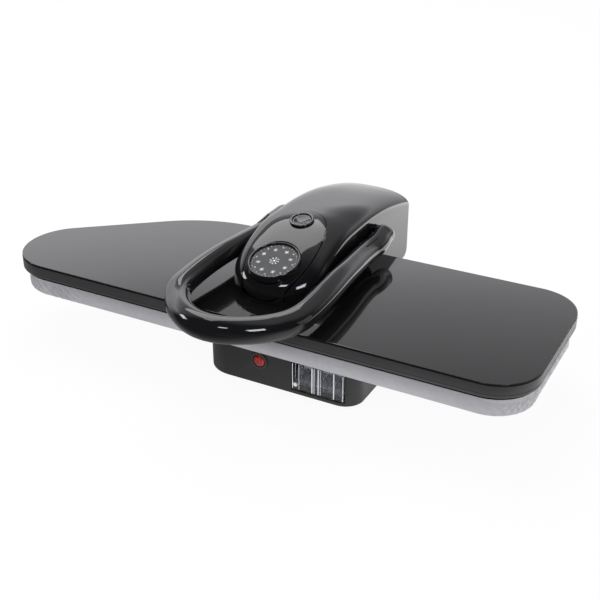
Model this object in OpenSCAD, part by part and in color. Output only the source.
// Table-top steam press for trousers and flat laundry, closed and locked.
// +Z up, +X to the square end, -Y to the user (the front).
// Origin: on the table, under the head's plane of symmetry, at the middle of the platen's depth.

/* [Platen] */
// Length of the upper platen, tip to square end
platen_length = 660; // [640:1:680]
// Depth of the upper platen
platen_depth = 228; // [222:1:234]
// Height of the platen cover's top above the table
platen_top = 93; // [92.5:0.1:93.5]
// Height of the platen cover's side band
band_height = 15.8; // [15:0.1:16.5]
// Radius of the pointed end
tip_r = 63; // [55:1:68]
// Radius of the square end's corners
corner_r = 50; // [40:1:56]

/* [Board] */
// Thickness of the foam pad
foam_thick = 13; // [12.5:0.1:13]
// Depth of the whole padded board, fabric to hem
board_height = 20; // [19.8:0.1:20.2]

/* [Handle] */
// Grip radius at the front of the loop
grip_r_front = 14; // [12:0.1:14.5]
// Grip radius at the pivots
grip_r_end = 12.2; // [11.5:0.1:12.6]

/* [Head] */
// Half width of the head shell
head_half = 55.5; // [55:0.1:56]
// Wall thickness of the head shell
head_wall = 2.5; // [2:0.1:3]
// Radius of the control disc
disc_r = 27.2; // [27:0.1:29.6]
// Radius of the steam button
button_r = 11; // [9:0.1:11.3]

/* [Base] */
// Wall thickness of the base housing
base_wall = 2.5; // [2:0.1:3]
// Radius of the hinge shaft
shaft_r = 6; // [5:0.1:6.5]
// Radius of the rubber feet
foot_r = 9; // [7:0.5:10]

/* [Hidden] */
$fn = 48;

// Platen and board
tip_x = -342 * platen_length / 660;
square_x = tip_x + platen_length;
front_y = -platen_depth / 2;
back_y = platen_depth / 2;
back_curve_x = -116;
back_curve_r = 176.5;
sole_bottom = platen_top - 19.5;
sole_fit_z = sole_bottom + 5.05; // seat of the parts on the soleplate
board_top = sole_bottom - 0.2;
board_bottom = board_top - board_height;
pan_bottom = board_top - foam_thick - 4.1;

// Axes along X, as [y, z]
hinge = [190, 62];
handle_pivot = [111, 126];
link_low = [199.2, 54.3];
crank_axis = [127.9, 111.9];
pin_r = 4;          // link pin and crank pin
handle_shaft_r = 5;

// Base
base_z = 5;
base_front = -94;
base_left = -67;
base_right = 129;
base_top = board_bottom - 0.1;
tail_top = 27;       // low rear part of the base
tail_half = 60;
tail_back = 212;
tail_corner_r = 12;
bracket_z = tail_top + 0.1;
bracket_sheet = 2.5;
bay_left = 51;       // tank bay, open to the front
bay_right = 116;
bay_back = 40;
bay_top = 48;
bay_wall = 2.4;
tank_rim_z = 46;
outlet_x = 70;       // tank outlet and pump axis, along Y
outlet_z = 21;
cap_xy = [84, -40];
switch_x = 10.8;
switch_z = 34.5;

// Head
disc_centre = [0, -38.4, 132];
disc_tilt = 18;
button_centre = [0, 27, 157.4];
button_tilt = 12;
trim_y = -14.5;      // centre of the oval trim in plan
trim_half_w = 39.8;
trim_half_l = 68;
arm_z = 93.5;        // underside of the arm's foot plate
arm_sheet = 2.5;

// Places in plan, as [x, y]
feet_xy = [[0, 0], [-45, -68], [48, 192], [-48, 192]];
tank_foot_xy = [108, -70];
boss_xy = [[-46, -40], [40, -84], [119, 40], [-50, 60], [50, 150], [-50, 150]];
bracket_hole_xy = [for (x = [-34, 34], y = [140, 176]) [x, y]];
arm_screw_xy = [[-26, 30], [26, 30], [-26, 92], [26, 92]];
platen_screw_xy = [[-240, -40], [-150, 60], [-150, -80], [250, -70], [250, 70], [120, 85],
  [120, -85], [0, 92]];
nozzle_xy = [20, 70];
wiring_xy = [-20, 60];

// Colours used by several pieces
pin_steel = [0.78, 0.79, 0.8];
screw_steel = [0.6, 0.61, 0.63];
plate_steel = [0.62, 0.63, 0.65];
spring_steel = [0.7, 0.71, 0.72];
link_steel = [0.55, 0.56, 0.58];
bush_bronze = [0.75, 0.6, 0.3];
board_green = [0.1, 0.35, 0.2];
hose_white = [0.85, 0.86, 0.84];
gloss_black = [0.04, 0.04, 0.045];

// ---- Plan outlines; a circle is [x, y, radius]
function arc(circle, from, to, steps) = let(sweep = (((to - from) % 360) + 360) % 360)
  [for (k = [0:steps]) let(a = from + sweep * k / steps)
    [circle[0] + circle[2] * cos(a), circle[1] + circle[2] * sin(a)]];

// Angle at which the outer tangent touches circles a and b
function tangent_angle(a, b) = let(d = [b[0] - a[0], b[1] - a[1]])
  atan2(d[1], d[0]) - acos((a[2] - b[2]) / norm(d));

// Platen outline: four circles and their tangents, with the two ends shifted along X
function outline(inset = 0, tip_shift = 0, square_shift = 0, fine = 1) = let(
  end_x = square_x + square_shift,
  circles = [
    [end_x - corner_r, front_y + corner_r, corner_r - inset],
    [end_x - corner_r - 3, back_y - corner_r - 3, corner_r + 3 - inset],
    [back_curve_x, back_y - back_curve_r, back_curve_r - inset],
    [tip_x + tip_shift + tip_r, front_y + tip_r + 2.4, tip_r - inset]],
  angles = [for (k = [0:3]) tangent_angle(circles[k], circles[(k + 1) % 4])],
  steps = [8, 8, 8, 16])
  [for (k = [0:3]) each arc(circles[k], angles[(k + 3) % 4], angles[k], steps[k] * fine)];

// Quarter arcs on four circles, from front right counter-clockwise
function four_corners(circles, steps) =
  [for (k = [0:3]) each arc(circles[k], 90 * k - 90, 90 * k, steps)];

function rounded_rect(x0, y0, x1, y1, r) = four_corners(
  [[x1 - r, y0 + r, r], [x1 - r, y1 - r, r], [x0 + r, y1 - r, r], [x0 + r, y0 + r, r]], 6);

function base_plan(inset) = four_corners([
  [base_right - 22, base_front + 22, 22 - inset],
  [base_right - 26, 86, 26 - inset],
  [base_left + 30, 82, 30 - inset],
  [base_left + 36, base_front + 36, 36 - inset]], 10);

function tail_plan(inset) = let(
  x = tail_half - tail_corner_r,
  y = tail_back - tail_corner_r,
  r = tail_corner_r - inset)
  concat(arc([x, y, r], 0, 90, 6), arc([-x, y, r], 90, 180, 6),
    [[-tail_half + inset, 60], [tail_half - inset, 60]]);

function trim_oval(inset) = [for (a = [0:7.5:359])
  [(trim_half_w - inset) * sin(a), trim_y + (trim_half_l - inset) * cos(a)]];

// Straight strip from a to b, with its half width at each end
function strip(a, b, half_a, half_b) = let(d = unit(b - a), n = [-d[1], d[0]])
  [a + half_a * n, b + half_b * n, b - half_b * n, a - half_a * n];

// ---- Simple solids
module slab(z, h, points) translate([0, 0, z]) linear_extrude(h) polygon(points);
module box(at, size) translate(at) cube(size);
module post(at, z, h, r) translate([at[0], at[1], z]) cylinder(h = h, r = r);
module posts(places, z, h, r) for (p = places) post(p, z, h, r);
module rod_y(start, h, r) translate(start) rotate([-90, 0, 0]) cylinder(h = h, r = r);

// Rod along X: span is [x0, x1], axis is [y, z]
module rod_x(span, axis, r) translate([span[0], axis[0], axis[1]]) rotate([0, 90, 0])
  cylinder(h = span[1] - span[0], r = r);

// Plate across X, with points as [y, z]
module plate_x(span, points) translate([span[0], 0, 0]) rotate([90, 0, 90])
  linear_extrude(span[1] - span[0]) polygon(points);

// X range from near to far of the middle, on side -1 or 1
function reach(side, near, far) = side > 0 ? [near, far] : [-far, -near];

// Rod on the tank outlet axis, y measured from the back of the bay
module outlet_rod(y, h, r) rod_y([outlet_x, bay_back + y, outlet_z], h, r);

// ---- Swept tubes
function unit(v) = v / max(norm(v), 1e-9);
function tangents(path, closed) = let(n = len(path))
  [for (i = [0:n - 1]) unit(closed
    ? path[(i + 1) % n] - path[(i + n - 1) % n]
    : path[min(i + 1, n - 1)] - path[max(i - 1, 0)])];

// Tube round a path; radius is a number, or a list with one for each point
module tube(path, radius, sides = 8, up = [0, 0, 1], closed = false) {
  n = len(path);
  along = tangents(path, closed);
  points = [for (i = [0:n - 1]) let(
      a = unit(up - (up * along[i]) * along[i]),
      b = cross(along[i], a),
      r = is_list(radius) ? radius[i] : radius)
    for (k = [0:sides - 1]) path[i] + r * (cos(360 * k / sides) * a + sin(360 * k / sides) * b)];
  walls = [for (i = [0:(closed ? n - 1 : n - 2)], k = [0:sides - 1])
    let(here = i * sides, next = (i + 1) % n * sides, l = (k + 1) % sides)
    [next + k, next + l, here + l, here + k]];
  caps = closed ? [] : [
    [for (k = [0:sides - 1]) k],
    [for (k = [sides - 1:-1:0]) (n - 1) * sides + k]];
  polyhedron(points = points, faces = concat(walls, caps), convexity = 8);
}

// Catmull-Rom curve through the points of a path, with steps for each span
function catmull_rom(a, b, c, d, t) = 0.5 * (2 * b + (c - a) * t
  + (2 * a - 5 * b + 4 * c - d) * t * t + (3 * b - a - 3 * c + d) * t * t * t);
function smooth(path, steps) = let(n = len(path)) concat(
  [for (i = [0:n - 2], k = [0:steps - 1]) catmull_rom(
    path[max(i - 1, 0)], path[i], path[i + 1], path[min(i + 2, n - 1)], k / steps)],
  [path[n - 1]]);

// Helix along X, or else along Z
function helix(start, r, pitch, turns, steps, along_x) = [for (k = [0:turns * steps])
  let(a = 360 * k / steps, h = pitch * k / steps)
  start + (along_x ? [h, r * cos(a), r * sin(a)] : [r * cos(a), r * sin(a), h])];

// ---- Head surface
// Ridge line in the plane of symmetry: y, z
ridge = [[-90, 109.5], [-78, 115.3], [-38, 131], [-4, 146.7], [28, 156.1], [66, 158],
  [106, 157.3], [146, 152.9], [186, 144.5], [218, 135.5], [230, 131.5]];
nose_y = -21.7;         // the elliptical nose starts here
nose_length = 49;
head_back = 218;
tail_y = back_y + 5;    // where the shell drops behind the platen
side_drop = 20.5;       // ridge to side edge, at the start of the nose
nose_drop = 13;         // ridge to edge at the nose's front
back_drop_loss = 2.7;   // how much less the drop is at the head's back
half_ribs = 13;

function ridge_span(y, i = 0) =
  i >= len(ridge) - 2 || y < ridge[i + 1][0] ? i : ridge_span(y, i + 1);

// Ridge height: cubic Hermite spline through the ridge points
function ridge_z(y) = let(
  i = ridge_span(y),
  before = ridge[max(i - 1, 0)],
  start = ridge[i],
  end = ridge[i + 1],
  after = ridge[min(i + 2, len(ridge) - 1)],
  span = end[0] - start[0],
  t = (y - start[0]) / span,
  slope_start = (end[1] - before[1]) / (end[0] - before[0]) * span,
  slope_end = (after[1] - start[1]) / (after[0] - start[0]) * span)
  (2 * t * t * t - 3 * t * t + 1) * start[1] + (t * t * t - 2 * t * t + t) * slope_start
  + (3 * t * t - 2 * t * t * t) * end[1] + (t * t * t - t * t) * slope_end;

// Drop from ridge to edge; frontness is 0 at the side and 1 at the nose's front
function edge_drop(y, frontness) =
  let(back = min(1, max(0, (y - nose_y) / (head_back - nose_y))))
  side_drop - back_drop_loss * back + (nose_drop - side_drop) * frontness;

// Superellipse fall from the ridge (v = 0) to the edge (v = 1)
function crown(v, drop) = -drop * (1 - pow(max(0, 1 - pow(min(v, 1), 2.6)), 1 / 2.2));

function head_z(x, y, inset) = let(
  across = x / (head_half - inset),
  ahead = max(0, (nose_y - y) / (nose_length - inset)),
  v = sqrt(across * across + ahead * ahead),
  frontness = v > 1e-6 ? (ahead / v) * (ahead / v) : 0)
  ridge_z(y) - inset + crown(v, edge_drop(y, frontness) - inset * 0.3);

function half_width(y, inset) = (head_half - inset) * (y >= nose_y ? 1
  : sqrt(max(0, 1 - pow((nose_y - y) / (nose_length - inset), 2))));

// Cross-section at y, from +X over the top to -X
function head_section(y, inset, bottom) = let(w = half_width(y, inset)) concat(
  [[w, y, bottom]],
  [for (k = [0:half_ribs * 2]) let(x = w * sin(90 - 90 * k / half_ribs))
    [x, y, max(bottom + 0.5, head_z(x * 0.99999, y, inset))]],
  [[-w, y, bottom]]);

// Underside: over the platen, then low behind it, rounded up at the back
function head_bottom(y, step_y) = y < step_y ? platen_top + 0.3
  : y < 208 ? 48 : 58 - sqrt(max(0, 100 - pow(y - 208, 2)));

// Solid head, inset all round, with its underside lowered by extra
module head_solid(inset, extra = 0) {
  step_y = tail_y - max(inset, 0);
  stations = concat(
    [for (a = [4:7:81]) nose_y - nose_length * cos(a) * (nose_length - inset) / nose_length],
    [for (y = [nose_y:14:tail_y - 8]) y],
    [step_y - 1, step_y, 135, 152, 169, 186, 198, 208, 212],
    [for (a = [30, 60, 90]) head_back - inset - 5 + 5 * sin(a)]);
  sections = [for (y = stations) head_section(y, inset, head_bottom(y, step_y) - extra)];
  n = len(sections);
  m = len(sections[0]);
  caps = [[for (k = [m - 1:-1:0]) k], [for (k = [0:m - 1]) (n - 1) * m + k]];
  walls = [for (a = [0:n - 2], b = [0:m - 1])
    let(here = a * m, next = here + m, c = (b + 1) % m)
    each [[here + b, next + c, next + b], [here + b, here + c, next + c]]];
  polyhedron(points = [for (s = sections) each s], faces = concat(caps, walls), convexity = 6);
}

// ---- Base
module base_housing() color([0.09, 0.09, 0.1]) difference() {
  union() {
    slab(base_z, base_top - base_z, base_plan(0));
    slab(base_z, tail_top - base_z, tail_plan(0));
    // raised pad under the board pan
    slab(base_top - 1, pan_bottom - 0.2 - base_top + 1, rounded_rect(-50, -74, 110, 85, 14));
  }
  // inside, less the tank bay's walls and the screw bosses
  difference() {
    union() {
      slab(base_z - 1, base_top - base_z + 1 - base_wall, base_plan(base_wall));
      slab(base_z - 1, tail_top - base_z + 1 - base_wall, tail_plan(base_wall));
    }
    box([bay_left - bay_wall, base_front, base_z],
      [bay_right - bay_left + 2 * bay_wall, bay_back - base_front + bay_wall,
       bay_top - base_z + bay_wall]);
    posts(boss_xy, base_z + 4.2, 14, 4);
    for (p = boss_xy)
      post(p, base_z + 18, (p[1] > 100 ? 25.5 : base_top - 1) - base_z - 18, 4);
  }
  // tank bay and its outlet hole
  box([bay_left, base_front - 5, base_z + 4],
    [bay_right - bay_left, bay_back - base_front + 5, bay_top - base_z - 4]);
  outlet_rod(-1, 6, 6.2);
  // screw recesses and bores
  posts(boss_xy, base_z - 1, 5.2, 4.2);
  posts(boss_xy, base_z, 14, 1.3);
  // switch, mains inlet, hose slot and bracket holes
  rod_y([switch_x, base_front - 1, switch_z], 10, 9.1);
  box([-12.4, 200, 9.4], [24.8, 20, 12.7]);
  box([6, 113, 20], [20, 12, 12]);
  posts(bracket_hole_xy, 20, 12, 2.2);
}

module base_bottom_cover() color([0.12, 0.12, 0.13]) difference() {
  union() {
    slab(base_z - 0.4, 2.2, base_plan(base_wall + 0.3));
    slab(base_z - 0.4, 2.2, tail_plan(base_wall + 0.3));
  }
  box([bay_left - 2.8, base_front - 2, base_z - 1],
    [bay_right - bay_left + 5.6, bay_back - base_front + 4.9, 8]);
  posts(boss_xy, 0, 10, 2);
  posts(feet_xy, 0, 10, foot_r - 3);
}

// Four feet with studs, and a small plain one under the tank bay
module rubber_feet() color([0.16, 0.16, 0.17]) {
  posts(feet_xy, 0, base_z - 0.45, foot_r);
  posts(feet_xy, 0, base_z + 2, foot_r - 3.1);
  post(tank_foot_xy, 0, base_z - 0.45, foot_r - 3);
}

module base_screws() color(screw_steel) {
  posts(boss_xy, base_z - 2.4, 1.9, 3.4);
  posts(boss_xy, base_z - 2.4, 14, 1.25);
}

// ---- Hinge
module hinge_bracket() color(plate_steel) difference() {
  front = 126;
  foot_back = hinge[0] + 1;
  foot_top = bracket_z + bracket_sheet;
  cheek = concat([[front, bracket_z], [foot_back, bracket_z], [hinge[0] + 12, 44]],
    arc(concat(hinge, 12.5), -20, 160, 18),
    [[hinge[0] - 15, 56], [150, foot_top], [front, foot_top]]);
  lug = concat([[176, bracket_z], [foot_back, bracket_z]],
    arc(concat(link_low, 7.5), -40, 140, 18));
  union() {
    for (side = [-1, 1]) {
      plate_x(reach(side, 28, 31), cheek);
      plate_x(reach(side, 8.5, 11.5), lug);
    }
    box([-42, front, bracket_z], [84, foot_back - front, bracket_sheet]);
  }
  rod_x([-40, 40], hinge, 6.02 * shaft_r / 6);
  rod_x([-40, 40], link_low, pin_r + 0.02);
  posts(bracket_hole_xy, 20, 12, 2.2);
}

// Collared stubs, each with a groove for its clip
module hinge_stubs() color(pin_steel) for (side = [-1, 1]) difference() {
  union() {
    rod_x(reach(side, 26, 45), hinge, shaft_r);
    rod_x(reach(side, 26, 27.9), hinge, shaft_r + 2.5);
  }
  difference() {
    rod_x(reach(side, 42.2, 43.3), hinge, shaft_r + 1);
    rod_x(reach(side, 42, 44), hinge, shaft_r - 1);
  }
}

module hinge_clips() color([0.5, 0.5, 0.52]) for (side = [-1, 1]) difference() {
  rod_x(reach(side, 42.25, 43.25), hinge, shaft_r + 3);
  rod_x([-50, 50], hinge, shaft_r - 0.95);
  box([-50, hinge[0] - 2, hinge[1] - shaft_r - 5], [100, 4, shaft_r + 1]);
}

module lift_springs() color(spring_steel) for (side = [-1, 1])
  tube(helix([side * 31.9, hinge[0], hinge[1]], r = 8.2, pitch = side * 1.15, turns = 3,
    steps = 14, along_x = true), 0.5, 5, up = [1, 0, 0]);

module link_pin() color(pin_steel) rod_x([-14, 14], link_low, pin_r);

module pressure_link() color(link_steel) difference() {
  union() {
    rod_x([-6, 6], link_low, 7.2);
    rod_x([-6, 6], crank_axis, 8);
    plate_x([-4, 4], strip(link_low, crank_axis, 5, 5));
  }
  rod_x([-8, 8], link_low, pin_r + 0.05);
  rod_x([-8, 8], crank_axis, 4.75);
}

// ---- Board
module board_pan() color(spring_steel) slab(pan_bottom, 2.4, outline(8, 5, -4));

module foam_pad() color([0.85, 0.8, 0.62])
  slab(board_top - 1.55 - foam_thick, foam_thick - 0.1, outline(6.2, 4, -2.4));

module fabric_cover() color([0.7, 0.7, 0.72]) difference() {
  slab(board_bottom, board_height, outline(4.2, 3, -0.5));
  slab(board_bottom + 1, board_height - 2.5, outline(5.9, 3.2, -2.2));
  // opening inside the hem
  slab(board_bottom - 1, 4, outline(24, 3, -2));
}

module cover_drawcord() color([0.9, 0.9, 0.88])
  tube([for (p = outline(21.6, 3, -2)) [p[0], p[1], board_bottom + 1.8]], 0.7, 5, closed = true);

// ---- Pump and electrics
module tank_receptacle() color([0.2, 0.2, 0.22]) difference() {
  union() {
    outlet_rod(2.5, 2.5, 10);
    outlet_rod(-3, 16, 6);
  }
  outlet_rod(-4, 18, 3.6);
}

module water_pump() color([0.22, 0.23, 0.25]) {
  outlet_rod(24, 30, 12);
  outlet_rod(14, 12, 3.4);
  box([58, bay_back + 31, 12], [24, 14, 20]);
  post([62, 66], 22, 17, 2.5);
}

module pump_mounts() color([0.14, 0.14, 0.15]) for (x = [54.5, 82.5])
  box([x, 70, 7], [3.2, 18, 12]);

module pump_hose() color(hose_white) {
  // x, y, z from the pump's top to the hinge axis
  path = [[62, 66, 39.3], [62, 66, 40.7], [62, 66.2, 42.1], [56, 74, 45.3], [38, 90, 36],
    [24, 103, 22], [16, 113, 19], [14.8, 118.8, 23], [14.6, 120.6, 30], [14.6, 128, 37.5],
    [14.6, 160, 50], [14.4, 181, 57.6], [14.8, 188, 60.4], [15.6, 189.6, 61.7], [17.8, 190, 62]];
  tube(smooth(path, 3), 2.4, 7);
}

module power_board() color(board_green) {
  // x, y, width, depth, height
  components = [[-30, -42, 14, 14, 12], [-8, -40, 16, 12, 10], [14, -34, 10, 18, 14],
    [-26, -14, 20, 10, 9]];
  box([-38, -50, 12], [70, 60, 1.6]);
  for (c = components) box([c[0], c[1], 13.5], [c[2], c[3], c[4]]);
}

// Frame of the switch: its z runs into the base
module switch_frame() translate([switch_x, base_front, switch_z]) rotate([-90, 0, 0]) children();

module switch_bezel() color([0.1, 0.1, 0.11]) switch_frame() difference() {
  union() {
    translate([0, 0, -1.2]) cylinder(h = 1.15, r = 10.4);
    cylinder(h = 15, r = 9);
  }
  translate([0, 0, -2]) cylinder(h = 12, r = 7.6);
}

module power_rocker() color([0.8, 0.08, 0.06]) switch_frame() intersection() {
  translate([0, 0, -2.2]) cylinder(h = 7, r = 6.9);
  translate([0, 0, 15]) rotate([0, 90, 0]) cylinder(h = 20, r = 17.2, center = true);
}

module mains_inlet() color([0.08, 0.08, 0.09]) difference() {
  union() {
    box([-14, tail_back + 0.1, 8.6], [28, 1.8, 14.4]);
    box([-12, 191, 9.6], [24, 21.2, 12.3]);
  }
  box([-10.5, 197, 11], [21, 20, 9.5]);
}

// ---- Tank
module water_tank() color([0.75, 0.82, 0.86, 0.5]) difference() {
  bottom = base_z + 4.3;
  floor_z = base_z + 6.5;
  union() {
    slab(bottom, tank_rim_z - bottom,
      rounded_rect(bay_left + 0.8, base_front - 0.4, bay_right - 0.8, bay_back - 4, 4));
    outlet_rod(-5, 1, 8);
  }
  slab(floor_z, 60 - floor_z,
    rounded_rect(bay_left + 3, base_front + 2, bay_right - 3, bay_back - 6.4, 3));
  outlet_rod(-9, 12, 5);
}

module tank_top() color([0.12, 0.12, 0.13]) difference() {
  slab(tank_rim_z - 2.6, 2.6,
    rounded_rect(bay_left + 3.1, base_front + 2.1, bay_right - 3.1, bay_back - 6.5, 3));
  post(cap_xy, 40, 8, 12);
}

module tank_cap() color([0.16, 0.16, 0.17]) {
  translate([cap_xy[0], cap_xy[1], tank_rim_z + 0.15]) difference() {
    cylinder(h = 1.5, r = 14.5);
    for (a = [0, 180]) rotate(a) box([8, -3, 0.8], [4, 6, 2]);
  }
  post(cap_xy, 41, 5.3, 11.4);
}

module tank_cap_seal() color([0.75, 0.3, 0.2]) translate([cap_xy[0], cap_xy[1], 43.2])
  rotate_extrude() translate([11.42, 0]) square([0.5, 2]);

module tank_valve_seat() color([0.2, 0.2, 0.22]) difference() {
  outlet_rod(-8.4, 4.2, 4.9);
  outlet_rod(-9.4, 6, 2.6);
}

module tank_valve_plunger() color([0.85, 0.85, 0.83]) {
  outlet_rod(-11.5, 2.6, 4);
  outlet_rod(-11.5, 8, 2.3);
}

// ---- Head
module head_shell() color(gloss_black) difference() {
  head_solid(0);
  head_solid(head_wall, 3);
  slab(platen_top + 3.85, 90, trim_oval(-0.15));
  rod_x([-70, 70], handle_pivot, handle_shaft_r + 0.7);
}

// Frames of the disc and the button: their z is square to the face
module disc_frame() translate(disc_centre) rotate([disc_tilt, 0, 0]) children();
module button_frame() translate(button_centre) rotate([button_tilt, 0, 0]) children();

module control_trim() color([0.07, 0.07, 0.08]) difference() {
  intersection() {
    difference() {
      head_solid(-0.5);
      head_solid(1.6, 4);
    }
    slab(platen_top + 4, 90, trim_oval(0));
  }
  disc_frame() translate([0, 0, -16]) cylinder(h = 36, r = disc_r + 3.35);
  button_frame() translate([0, 0, -20]) cylinder(h = 40, r = 13.2);
  button_frame() translate([0, 0, -1.2]) cylinder(h = 20, r = 15.4);
}

module disc_bezel() color([0.03, 0.03, 0.035]) disc_frame() rotate_extrude() polygon([
  [disc_r + 0.2, 0.9], [disc_r + 0.2, -4.2], [disc_r - 4.4, -4.2], [disc_r - 4.4, -6],
  [disc_r + 0.2, -9], [disc_r + 3.2, -9], [disc_r + 3.2, 0.4], [disc_r + 2.7, 0.9]]);

module lens_ring(z, h, r) for (k = [0:7])
  rotate(45 * k) translate([disc_r * 0.84, 0, z]) cylinder(h = h, r = r);

module control_disc() color([0.36, 0.37, 0.39]) disc_frame() difference() {
  translate([0, 0, -4.1]) cylinder(h = 4.1, r = disc_r);
  lens_ring(-1, 3, 1.15);
}

module indicator_lenses() color([0.9, 0.9, 0.9]) disc_frame() lens_ring(-0.98, 1.2, 1.1);

module control_board() color(board_green) disc_frame() translate([0, 0, -7]) {
  cylinder(h = 1.5, r = disc_r - 5);
  for (a = [0, 120, 240]) rotate(a) translate([12, 0, 1.4]) cylinder(h = 1.3, r = 4);
}

module button_bezel() color([0.2, 0.2, 0.21]) button_frame() difference() {
  union() {
    translate([0, 0, -1.1]) cylinder(h = 2.6, r = 15.2);
    translate([0, 0, -7]) cylinder(h = 7, r = 13);
  }
  translate([0, 0, -9]) cylinder(h = 14, r = button_r + 0.25);
  translate([0, 0, -9]) cylinder(h = 4, r = 12.4);
}

// Button with a dished face
module steam_button() color([0.06, 0.06, 0.07]) button_frame() difference() {
  translate([0, 0, -3.4]) cylinder(h = 5.6, r = button_r);
  translate([0, 0, 60]) sphere(r = 58.6);
}

module button_spring() color(spring_steel) button_frame()
  tube(helix([0, 0, -10.8], r = 5, pitch = 1.15, turns = 4, steps = 12, along_x = false),
    0.38, 5);

module steam_microswitch() color([0.1, 0.1, 0.11]) button_frame() {
  box([-9, -9, -13.4], [18, 18, 2]);
  box([-2.5, -2.5, -11.5], [5, 5, 4]);
}

// Holes for the arm screws, the steam nozzle and the wiring
module service_holes(z, h, screw_hole_r) {
  posts(arm_screw_xy, z, h, screw_hole_r);
  post(nozzle_xy, z, h, 6);
  post(wiring_xy, z, h, 5);
}

module head_arm() color(plate_steel) difference() {
  cheek = concat([[20, arm_z], [108, arm_z], [124, 95], [166, 62], [176, 49]],
    arc(concat(hinge, 12.5), -90, 60, 10),
    [[150, 116], [128, 138], [104, 141], [60, 124], [20, 103]]);
  union() {
    for (side = [-1, 1]) plate_x(reach(side, 36, 39), cheek);
    box([-38, 20, arm_z], [76, 82, arm_sheet]);
  }
  rod_x([-60, 60], hinge, shaft_r + 2.5);
  rod_x([-60, 60], handle_pivot, 8);
  service_holes(90, 9, 2.6);
}

// Pair of bushes with outer flanges, in the arm's cheeks
module flanged_bushes(axis, bore_r, outer_r, flange_r) for (side = [-1, 1]) difference() {
  union() {
    rod_x(reach(side, 36, 39.1), axis, outer_r);
    rod_x(reach(side, 39.1, 40.6), axis, flange_r);
  }
  rod_x([-60, 60], axis, bore_r);
}

module hinge_bushes() color(bush_bronze)
  flanged_bushes(hinge, shaft_r + 0.05, shaft_r + 2.45, shaft_r + 4.5);

module pivot_bushes() color(bush_bronze)
  flanged_bushes(handle_pivot, handle_shaft_r + 0.05, 7.95, 10);

module riser_hose() color(hose_white) {
  // x, y, z from the hinge axis to the steam nozzle
  path = [[18.4, 190, 62], [20.2, 190, 62.3], [21.9, 189.6, 64.2], [22.6, 188.4, 68.5],
    [22.4, 183, 79], [21, 172, 90], [19.5, 150, 102], [19.5, 120, 108.4], [19.8, 96, 109.5],
    [20, 84, 107.9], [20, 79.6, 107.3]];
  tube(smooth(path, 3), 2.2, 7);
}

module wiring_loom() color([0.15, 0.15, 0.17]) {
  // x, y, z from the hinge axis to below the control disc
  path = [[-17.4, 190, 62], [-19.6, 190, 62.3], [-21.6, 189.6, 64.2], [-22.4, 188.4, 68.5],
    [-22.4, 183, 79], [-21, 172, 90], [-20, 150, 102], [-20, 120, 110], [-20, 90, 112],
    [-16, 60, 114], [-10, 20, 116], [-4, -6, 122]];
  tube(smooth(path, 3), 2.4, 7);
}

module arm_screws() color(screw_steel) {
  posts(arm_screw_xy, arm_z + arm_sheet + 0.1, 2.6, 4.2);
  posts(arm_screw_xy, 90.2, 7, 2.4);
}

// ---- Platen
module platen_cover() color([0.05, 0.05, 0.055]) difference() {
  slab(platen_top - band_height, band_height, outline(fine = 2));
  slab(platen_top - band_height - 1, band_height - 1, outline(2, fine = 2));
  service_holes(85, 12, 2.6);
}

module soleplate() color([0.74, 0.75, 0.76]) difference() {
  union() {
    slab(sole_bottom, 5, outline(3.6));
    posts(platen_screw_xy, sole_bottom + 4, 6, 4);
  }
  // three rows of steam holes, the middle one offset by half a pitch
  pitch = 40;
  row_gap = 48;
  for (i = [0:13], j = [0:2])
    post([-262 + pitch * i + (j == 1 ? pitch / 2 : 0), -52 + row_gap * j - (i < 2 ? 8 : 0)],
      sole_bottom - 1, 8, 1.6);
  posts(platen_screw_xy, sole_bottom + 2, 12, 1.6);
}

module heating_element() color([0.4, 0.36, 0.33]) {
  // x, y
  path = [[-60, 20], [-120, 26], [-200, 0], [-262, -34], [-272, -52], [-256, -68],
    [-180, -66], [-60, -66], [80, -66], [200, -62], [262, -40], [280, 0], [262, 40],
    [200, 60], [120, 62], [62, 50]];
  tube(smooth([for (p = path) [p[0], p[1], sole_bottom + 8.4]], 3), 3.2, 8);
}

module steam_chamber() color([0.6, 0.6, 0.61]) {
  box([-34, 6, sole_fit_z], [82, 30, 5]);
  box([4, 30, sole_fit_z], [34, 50, 5]);
  post(nozzle_xy, sole_fit_z + 5, 2.4, 5);
}

// Layer between soleplate and cover, with its screw and service holes
module platen_layer(z, h, inset, screw_hole_r) difference() {
  slab(z, h, outline(inset));
  service_holes(z - 5, 12, 5);
  posts(platen_screw_xy, z - 5, 12, screw_hole_r);
}

module heat_shield() color([0.8, 0.81, 0.82]) platen_layer(sole_bottom + 12.3, 0.8, 5, 1.9);

module insulation_blanket() color([0.88, 0.86, 0.78])
  platen_layer(sole_bottom + 13.2, platen_top - 2.2 - sole_bottom - 13.2, 6, 3.4);

module steam_nozzle() color([0.72, 0.6, 0.34]) difference() {
  union() {
    post(nozzle_xy, sole_bottom + 12.5, 24, 4.2);
    rod_y([nozzle_xy[0], nozzle_xy[1], 107.3], 8.4, 3);
    post(nozzle_xy, 103, 8, 5);
  }
  post(nozzle_xy, sole_bottom + 10, 22, 2);
}

module thermostat() color([0.85, 0.84, 0.8]) {
  post([-20, 50], sole_fit_z, 4, 8);
  post(wiring_xy, sole_fit_z, 6.4, 3.5);
}

module thermal_fuse() color([0.75, 0.72, 0.68]) {
  axis = [-20, sole_bottom + 7.6];
  rod_x([-110, -82], axis, 2.4);
  for (x = [-116, -80]) rod_x([x, x + 4], axis, 0.8);
}

module platen_screws() color(screw_steel) {
  posts(platen_screw_xy, sole_bottom + 13.15, 2, 3);
  posts(platen_screw_xy, sole_bottom + 4, 10, 1.5);
}

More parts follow.
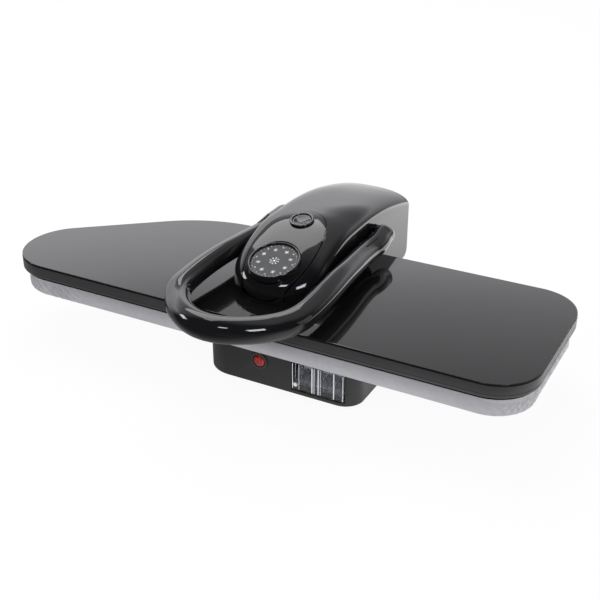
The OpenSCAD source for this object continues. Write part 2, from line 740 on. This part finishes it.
// ---- Handle
// Right half of the grip, pivot to front middle: x, y, z
grip_path = [[69.8, 107.5, 122], [70.2, 100, 121.2], [71.6, 88, 119.8], [71.4, 76, 118.6],
  [69.8, 62, 118], [70.2, 40, 118.6], [72.6, 10, 119.6], [75, -23.5, 120.6],
  [77.2, -58, 119.8], [77.6, -88, 118], [76, -112, 116.3], [70.5, -127, 114.4],
  [62, -139.5, 113.5], [48, -156, 114], [30, -169.5, 114.8], [14, -176.6, 115.3],
  [0, -178.5, 115.4]];
// Rounded end of the grip, behind the path: x, y, z
grip_end = [[69.8, 119.2, 123.2], [69.8, 116.9, 122.9], [69.8, 112.8, 122.5]];
grip_end_radii = [5.5, 9.6, grip_r_end - 0.4];

module handle_loop() color(gloss_black) {
  grip = smooth(grip_path, 2);
  n = len(grip);
  half = concat(grip_end, grip);
  // full thickness is reached 62% of the way to the front
  half_radii = concat(grip_end_radii,
    [for (i = [0:n - 1]) grip_r_end + (grip_r_front - grip_r_end) * min(1, i / (n * 0.62))]);
  back_again = [len(half) - 2:-1:0];
  path = concat(half, [for (i = back_again) [-half[i][0], half[i][1], half[i][2]]]);
  radii = concat(half_radii, [for (i = back_again) half_radii[i]]);
  difference() {
    tube(path, radii, 20);
    rod_x([-75, 75], handle_pivot, handle_shaft_r + 0.02);
  }
}

module handle_shaft() color(pin_steel) rod_x([-74, 74], handle_pivot, handle_shaft_r);

module handle_cranks() color(link_steel) difference() {
  for (side = [-1, 1]) {
    span = reach(side, 8.5, 12.5);
    rod_x(span, handle_pivot, 9);
    rod_x(span, crank_axis, 7);
    plate_x(span, strip(handle_pivot, crank_axis, 7, 6));
  }
  rod_x([-60, 60], handle_pivot, handle_shaft_r + 0.02);
  rod_x([-60, 60], crank_axis, pin_r + 0.02);
}

module crank_pin() color(pin_steel) rod_x([-15, 15], crank_axis, pin_r);

base_housing();
base_bottom_cover();
rubber_feet();
base_screws();
hinge_bracket();
hinge_stubs();
hinge_clips();
lift_springs();
link_pin();
board_pan();
foam_pad();
fabric_cover();
cover_drawcord();
water_pump();
pump_mounts();
tank_receptacle();
pump_hose();
power_board();
switch_bezel();
power_rocker();
mains_inlet();
pressure_link();
water_tank();
tank_top();
tank_cap();
tank_cap_seal();
tank_valve_seat();
tank_valve_plunger();
head_shell();
head_arm();
hinge_bushes();
pivot_bushes();
control_trim();
disc_bezel();
control_disc();
indicator_lenses();
control_board();
button_bezel();
steam_button();
button_spring();
steam_microswitch();
riser_hose();
wiring_loom();
platen_cover();
insulation_blanket();
heat_shield();
soleplate();
heating_element();
steam_chamber();
steam_nozzle();
thermostat();
thermal_fuse();
platen_screws();
handle_loop();
handle_shaft();
handle_cranks();
crank_pin();
arm_screws();
